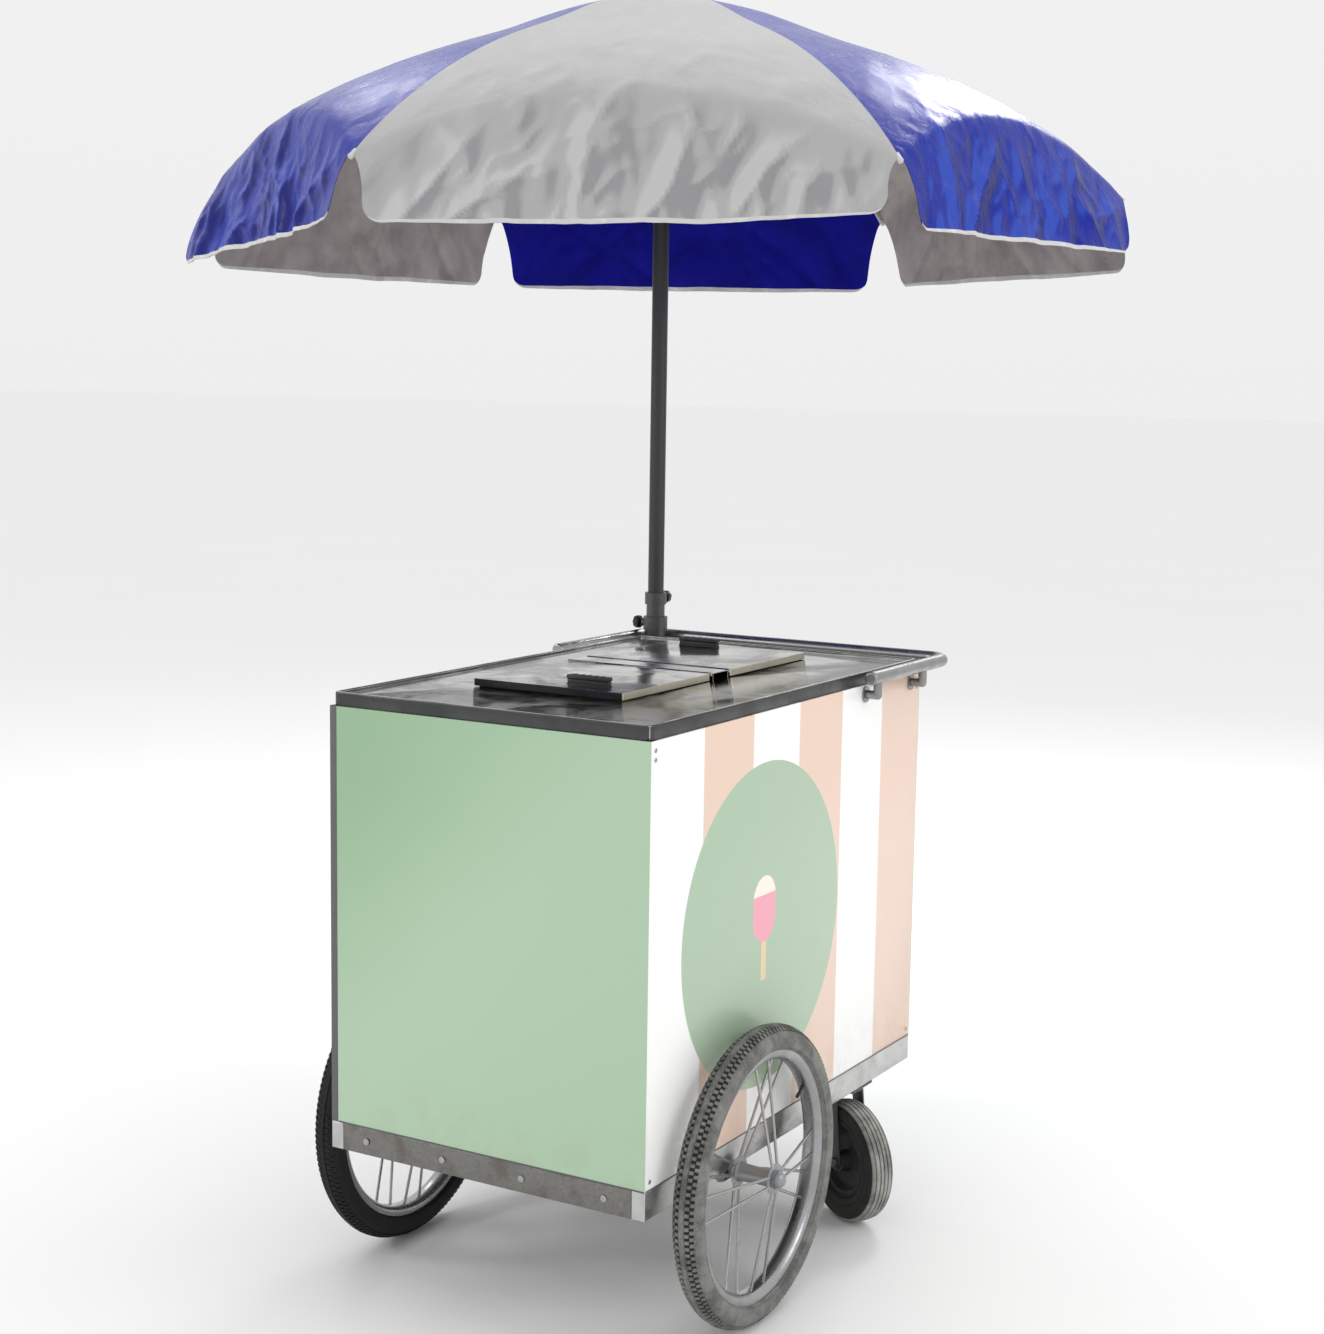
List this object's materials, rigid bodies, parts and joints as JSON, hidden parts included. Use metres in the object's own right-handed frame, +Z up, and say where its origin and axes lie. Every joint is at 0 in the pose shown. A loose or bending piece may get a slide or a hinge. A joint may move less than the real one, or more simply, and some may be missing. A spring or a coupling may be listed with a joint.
{
  "type": "push vending cart",
  "caption": "Insulated push cart with lidded wells under a steel deck, spoked wheels, swivel casters, a push handle and a folding umbrella on a pole.",
  "frame": {"origin": "on the ground under the middle of the cart's body", "axes": "+X to the cart's right side, +Y to its rear where it is pushed, +Z up"},
  "size_m": [1.661, 1.9687, 2.329],
  "materials": {
    "galvanised_steel": "galvanised, dull spangle",
    "grey_trim": "satin grey",
    "green_paint": "pale green satin enamel",
    "striped_paint": "white enamel with peach stripes and a green oval",
    "bright_steel": "bright zinc",
    "foam": "rigid foam board",
    "stainless": "polished stainless sheet",
    "seal_rubber": "matt",
    "black_plastic": "fine grain",
    "chrome_plate": "bright plated",
    "pole_metal": "grey metallic",
    "umbrella_steel": "white enamel",
    "umbrella_plastic": "white moulded",
    "white_vinyl": "coated vinyl cloth, wrinkled",
    "blue_vinyl": "coated vinyl cloth, wrinkled",
    "tyre_rubber": "block tread, dusty",
    "caster_rubber": "ribbed tread",
    "caster_steel": "dark zinc",
    "caster_core": "black moulded"
  },
  "bodies": {
    "cart": {"base_frame": "galvanised_steel", "axle_clamps": "galvanised_steel", "floor_pan": "galvanised_steel", "corner_posts": "grey_trim", "front_panel": "green_paint", "rear_panel": "green_paint", "left_side_panel": "striped_paint", "right_side_panel": "striped_paint", "panel_screws": "bright_steel", "insulation": "foam", "front_tub": "stainless", "rear_tub": "stainless", "lid_seals": "seal_rubber", "deck": "stainless", "hinge_strip": "stainless", "axle": "chrome_plate", "left_caster_plate": "caster_steel", "right_caster_plate": "caster_steel", "push_handle": "stainless", "handle_standoffs": "bright_steel", "pole_socket": "bright_steel"},
    "front_lid_body": {"front_lid": "stainless", "front_lid_pull": "black_plastic"},
    "rear_lid_body": {"rear_lid": "stainless", "rear_lid_pull": "black_plastic"},
    "left_wheel": {"left_wheel_hub": "chrome_plate", "left_wheel_spokes": "chrome_plate", "left_wheel_rim": "chrome_plate", "left_wheel_tyre": "tyre_rubber"},
    "left_caster_swivel": {"left_caster_fork": "caster_steel"},
    "left_caster_wheel": {"left_caster_core": "caster_core", "left_caster_tyre": "caster_rubber"},
    "right_wheel": {"right_wheel_hub": "chrome_plate", "right_wheel_spokes": "chrome_plate", "right_wheel_rim": "chrome_plate", "right_wheel_tyre": "tyre_rubber"},
    "right_caster_swivel": {"right_caster_fork": "caster_steel"},
    "right_caster_wheel": {"right_caster_core": "caster_core", "right_caster_tyre": "caster_rubber"},
    "socket_knob_body": {"socket_knob": "black_plastic"},
    "pole_lower": {"lower_pole": "pole_metal"},
    "height_knob_body": {"height_knob": "black_plastic"},
    "pole_upper": {"upper_pole": "pole_metal", "crown": "umbrella_steel", "finial": "umbrella_plastic", "cover_white_gores": "white_vinyl", "cover_blue_gores": "blue_vinyl"},
    "runner_body": {"runner": "umbrella_plastic"},
    "rib_1_body": {"rib_1": "umbrella_steel"},
    "stretcher_1_body": {"stretcher_1": "umbrella_steel"},
    "rib_2_body": {"rib_2": "umbrella_steel"},
    "stretcher_2_body": {"stretcher_2": "umbrella_steel"},
    "rib_3_body": {"rib_3": "umbrella_steel"},
    "stretcher_3_body": {"stretcher_3": "umbrella_steel"},
    "rib_4_body": {"rib_4": "umbrella_steel"},
    "stretcher_4_body": {"stretcher_4": "umbrella_steel"},
    "rib_5_body": {"rib_5": "umbrella_steel"},
    "stretcher_5_body": {"stretcher_5": "umbrella_steel"},
    "rib_6_body": {"rib_6": "umbrella_steel"},
    "stretcher_6_body": {"stretcher_6": "umbrella_steel"}
  },
  "joints": [
    {"name": "front_lid_hinge", "type": "hinge", "parent": "cart", "child": "front_lid_body", "pos_m": [-0.036, 0.037, 1.061], "axis": [-1, 0, 0], "range_deg": [0, 90]},
    {"name": "rear_lid_hinge", "type": "hinge", "parent": "cart", "child": "rear_lid_body", "pos_m": [-0.036, 0.103, 1.061], "axis": [1, 0, 0], "range_deg": [0, 90]},
    {"name": "left_wheel_spin", "type": "hinge", "parent": "cart", "child": "left_wheel", "pos_m": [-0.365, -0.218, 0.257], "axis": [1, 0, 0], "continuous": true},
    {"name": "right_wheel_spin", "type": "hinge", "parent": "cart", "child": "right_wheel", "pos_m": [0.365, -0.218, 0.257], "axis": [1, 0, 0], "continuous": true},
    {"name": "left_caster_turn", "type": "hinge", "parent": "cart", "child": "left_caster_swivel", "pos_m": [-0.274, 0.298, 0.259], "axis": [0, 0, 1], "continuous": true},
    {"name": "left_caster_spin", "type": "hinge", "parent": "left_caster_swivel", "child": "left_caster_wheel", "pos_m": [-0.24789, 0.28323, 0.115], "axis": [0.4924, 0.8704, 0], "continuous": true},
    {"name": "right_caster_turn", "type": "hinge", "parent": "cart", "child": "right_caster_swivel", "pos_m": [0.274, 0.298, 0.259], "axis": [0, 0, 1], "continuous": true},
    {"name": "right_caster_spin", "type": "hinge", "parent": "right_caster_swivel", "child": "right_caster_wheel", "pos_m": [0.30011, 0.28323, 0.115], "axis": [0.4924, 0.8704, 0], "continuous": true},
    {"name": "socket_knob_turn", "type": "hinge", "parent": "cart", "child": "socket_knob_body", "pos_m": [-0.302, 0.542, 1.078], "axis": [-1, 0, 0], "range_deg": [0, 360]},
    {"name": "pole_lift", "type": "slide", "parent": "cart", "child": "pole_lower", "axis": [0, 0, 1], "range_m": [0, 0.3]},
    {"name": "height_knob_turn", "type": "hinge", "parent": "pole_lower", "child": "height_knob_body", "pos_m": [-0.302, 0.542, 1.13], "axis": [0, 1, 0], "range_deg": [0, 360]},
    {"name": "pole_height", "type": "slide", "parent": "pole_lower", "child": "pole_upper", "axis": [0, 0, 1], "range_m": [-0.12, 0.1]},
    {"name": "umbrella_fold", "type": "slide", "parent": "pole_upper", "child": "runner_body", "axis": [0, 0, 1], "range_m": [-0.7022, 0], "deforming": ["cover_white_gores", "cover_blue_gores"]},
    {"name": "rib_1_hinge", "type": "hinge", "parent": "pole_upper", "child": "rib_1_body", "pos_m": [-0.30381, 0.51606, 2.28776], "axis": [0.9976, -0.0698, 0], "range_deg": [0, 62.05]},
    {"name": "stretcher_1_hinge", "type": "hinge", "parent": "rib_1_body", "child": "stretcher_1_body", "pos_m": [-0.33548, 0.06317, 2.19397], "axis": [0.9976, -0.0698, 0], "range_deg": [-124.1, 0]},
    {"name": "rib_2_hinge", "type": "hinge", "parent": "pole_upper", "child": "rib_2_body", "pos_m": [-0.28044, 0.52746, 2.28776], "axis": [0.5592, 0.829, 0], "range_deg": [0, 62.05]},
    {"name": "stretcher_2_hinge", "type": "hinge", "parent": "rib_2_body", "child": "stretcher_2_body", "pos_m": [0.09594, 0.27359, 2.19397], "axis": [0.5592, 0.829, 0], "range_deg": [-124.1, 0]},
    {"name": "rib_3_hinge", "type": "hinge", "parent": "pole_upper", "child": "rib_3_body", "pos_m": [-0.27863, 0.5534, 2.28776], "axis": [-0.4384, 0.8988, 0], "range_deg": [0, 62.05]},
    {"name": "stretcher_3_hinge", "type": "hinge", "parent": "rib_3_body", "child": "stretcher_3_body", "pos_m": [0.12942, 0.75242, 2.19397], "axis": [-0.4384, 0.8988, 0], "range_deg": [-124.1, 0]},
    {"name": "rib_4_hinge", "type": "hinge", "parent": "pole_upper", "child": "rib_4_body", "pos_m": [-0.30019, 0.56794, 2.28776], "axis": [-0.9976, 0.0698, 0], "range_deg": [0, 62.05]},
    {"name": "stretcher_4_hinge", "type": "hinge", "parent": "rib_4_body", "child": "stretcher_4_body", "pos_m": [-0.26852, 1.02083, 2.19397], "axis": [-0.9976, 0.0698, 0], "range_deg": [-124.1, 0]},
    {"name": "rib_5_hinge", "type": "hinge", "parent": "pole_upper", "child": "rib_5_body", "pos_m": [-0.32355, 0.55654, 2.28776], "axis": [-0.5592, -0.829, 0], "range_deg": [0, 62.05]},
    {"name": "stretcher_5_hinge", "type": "hinge", "parent": "rib_5_body", "child": "stretcher_5_body", "pos_m": [-0.69994, 0.81041, 2.19397], "axis": [-0.5592, -0.829, 0], "range_deg": [-124.1, 0]},
    {"name": "rib_6_hinge", "type": "hinge", "parent": "pole_upper", "child": "rib_6_body", "pos_m": [-0.32537, 0.5306, 2.28776], "axis": [0.4384, -0.8988, 0], "range_deg": [0, 62.05]},
    {"name": "stretcher_6_hinge", "type": "hinge", "parent": "rib_6_body", "child": "stretcher_6_body", "pos_m": [-0.73342, 0.33158, 2.19397], "axis": [0.4384, -0.8988, 0], "range_deg": [-124.1, 0]}
  ],
  "couplings": [
    {"joint": "rib_1_hinge", "follows": "umbrella_fold", "rad_per_m": -1.541},
    {"joint": "stretcher_1_hinge", "follows": "umbrella_fold", "rad_per_m": 3.082},
    {"joint": "rib_2_hinge", "follows": "umbrella_fold", "rad_per_m": -1.541},
    {"joint": "stretcher_2_hinge", "follows": "umbrella_fold", "rad_per_m": 3.082},
    {"joint": "rib_3_hinge", "follows": "umbrella_fold", "rad_per_m": -1.541},
    {"joint": "stretcher_3_hinge", "follows": "umbrella_fold", "rad_per_m": 3.082},
    {"joint": "rib_4_hinge", "follows": "umbrella_fold", "rad_per_m": -1.541},
    {"joint": "stretcher_4_hinge", "follows": "umbrella_fold", "rad_per_m": 3.082},
    {"joint": "rib_5_hinge", "follows": "umbrella_fold", "rad_per_m": -1.541},
    {"joint": "stretcher_5_hinge", "follows": "umbrella_fold", "rad_per_m": 3.082},
    {"joint": "rib_6_hinge", "follows": "umbrella_fold", "rad_per_m": -1.541},
    {"joint": "stretcher_6_hinge", "follows": "umbrella_fold", "rad_per_m": 3.082}
  ]
}
